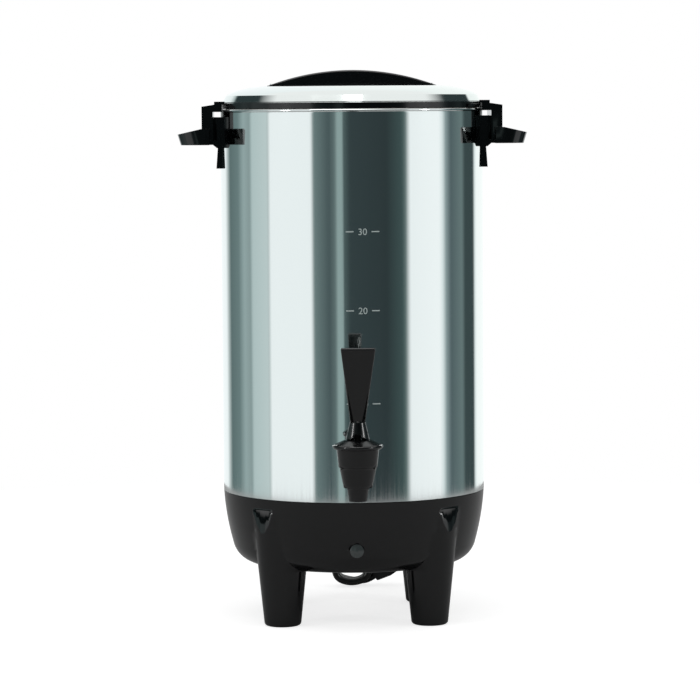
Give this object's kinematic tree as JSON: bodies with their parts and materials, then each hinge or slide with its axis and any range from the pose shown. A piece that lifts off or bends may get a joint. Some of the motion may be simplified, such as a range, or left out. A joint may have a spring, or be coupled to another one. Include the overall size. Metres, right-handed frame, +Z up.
{
  "type": "coffee urn",
  "caption": "Percolating coffee urn: steel tank on a black base with four legs, side handles, twist-off domed lid, lever tap, inner pump and basket, tied mains cord.",
  "frame": {"origin": "on the tank's axis, at the height of the surface that the legs stand on", "axes": "+Z up along the tank's axis, -Y towards the tap, +X to the right seen from the tap's side"},
  "size_m": [0.2372, 0.2986, 0.376],
  "materials": {
    "polished_steel": "polished stainless steel, lightly brushed upright",
    "black_plastic": "glossy black moulded phenolic",
    "dull_plastic": "plain black moulding",
    "silicone": "grey translucent silicone",
    "plain_steel": "zinc plated or plain steel",
    "cast_aluminium": "sand-coloured cast aluminium",
    "aluminium": "spun aluminium, satin",
    "ceramic_block": "unglazed steatite",
    "lamp_lens": "smoked clear plastic",
    "lamp_glass": "small neon lamp",
    "cord_rubber": "black PVC sheath",
    "brass": "plated brass blades"
  },
  "bodies": {
    "urn": {"tank": "polished_steel", "base": "black_plastic", "base_cover": "plain_steel", "centre_stud": "plain_steel", "centre_nuts": "plain_steel", "pump_heater": "cast_aluminium", "heater_bracket": "plain_steel", "warming_element": "cast_aluminium", "thermostat": "dull_plastic", "terminal_block": "ceramic_block", "lamp_lens": "lamp_lens", "lamp": "lamp_glass", "faucet_body": "black_plastic", "shank_washer_outer": "silicone", "shank_washer_inner": "silicone", "shank_nut": "dull_plastic", "faucet_bonnet": "black_plastic", "valve_spring": "plain_steel", "handle_screws": "plain_steel", "handle_left": "black_plastic", "handle_right": "black_plastic", "cord_relief": "cord_rubber", "cord_run": "cord_rubber", "cord_hank": "cord_rubber", "cord_tie": "cord_rubber", "plug": "cord_rubber", "plug_blades": "brass"},
    "valve": {"valve_stem": "dull_plastic", "seat_cup": "silicone", "lever_pin": "plain_steel"},
    "lever": {"faucet_lever": "black_plastic"},
    "seal": {"lid_seal": "silicone"},
    "lid": {"lid_ring": "black_plastic", "lid_shell": "polished_steel", "lid_handle": "black_plastic", "lid_handle_screws": "plain_steel"},
    "percolator": {"pump_tube": "aluminium", "pump_foot": "aluminium"},
    "coffee_basket": {"basket": "aluminium"},
    "spreader": {"basket_cover": "aluminium"}
  },
  "joints": [
    {"name": "valve_lift", "type": "slide", "parent": "urn", "child": "valve", "axis": [0, 0, 1], "range_m": [0, 0.0024], "stiffness_N_per_m": 600, "springref_m": -0.002, "deforming": ["valve_spring"]},
    {"name": "lever_tilt", "type": "hinge", "parent": "valve", "child": "lever", "pos_m": [0, -0.132, 0.139], "axis": [1, 0, 0], "range_deg": [0, 35]},
    {"name": "lid_lift", "type": "slide", "parent": "urn", "child": "seal", "axis": [0, 0, 1], "range_m": [0, 0.48]},
    {"name": "lid_twist", "type": "hinge", "parent": "seal", "child": "lid", "pos_m": [0, 0, 0.352], "axis": [0, 0, 1], "range_deg": [0, 23]},
    {"name": "percolator_lift", "type": "slide", "parent": "urn", "child": "percolator", "axis": [0, 0, 1], "range_m": [0, 0.29]},
    {"name": "basket_lift", "type": "slide", "parent": "urn", "child": "coffee_basket", "axis": [0, 0, 1], "range_m": [0, 0.37]},
    {"name": "spreader_lift", "type": "slide", "parent": "urn", "child": "spreader", "axis": [0, 0, 1], "range_m": [0, 0.43]}
  ],
  "couplings": [
    {"joint": "lever_tilt", "follows": "valve_lift", "rad_per_m": 254.5},
    {"joint": "percolator_lift", "follows": "lid_lift", "ratio": 0.6},
    {"joint": "basket_lift", "follows": "lid_lift", "ratio": 0.75},
    {"joint": "spreader_lift", "follows": "lid_lift", "ratio": 0.87}
  ]
}
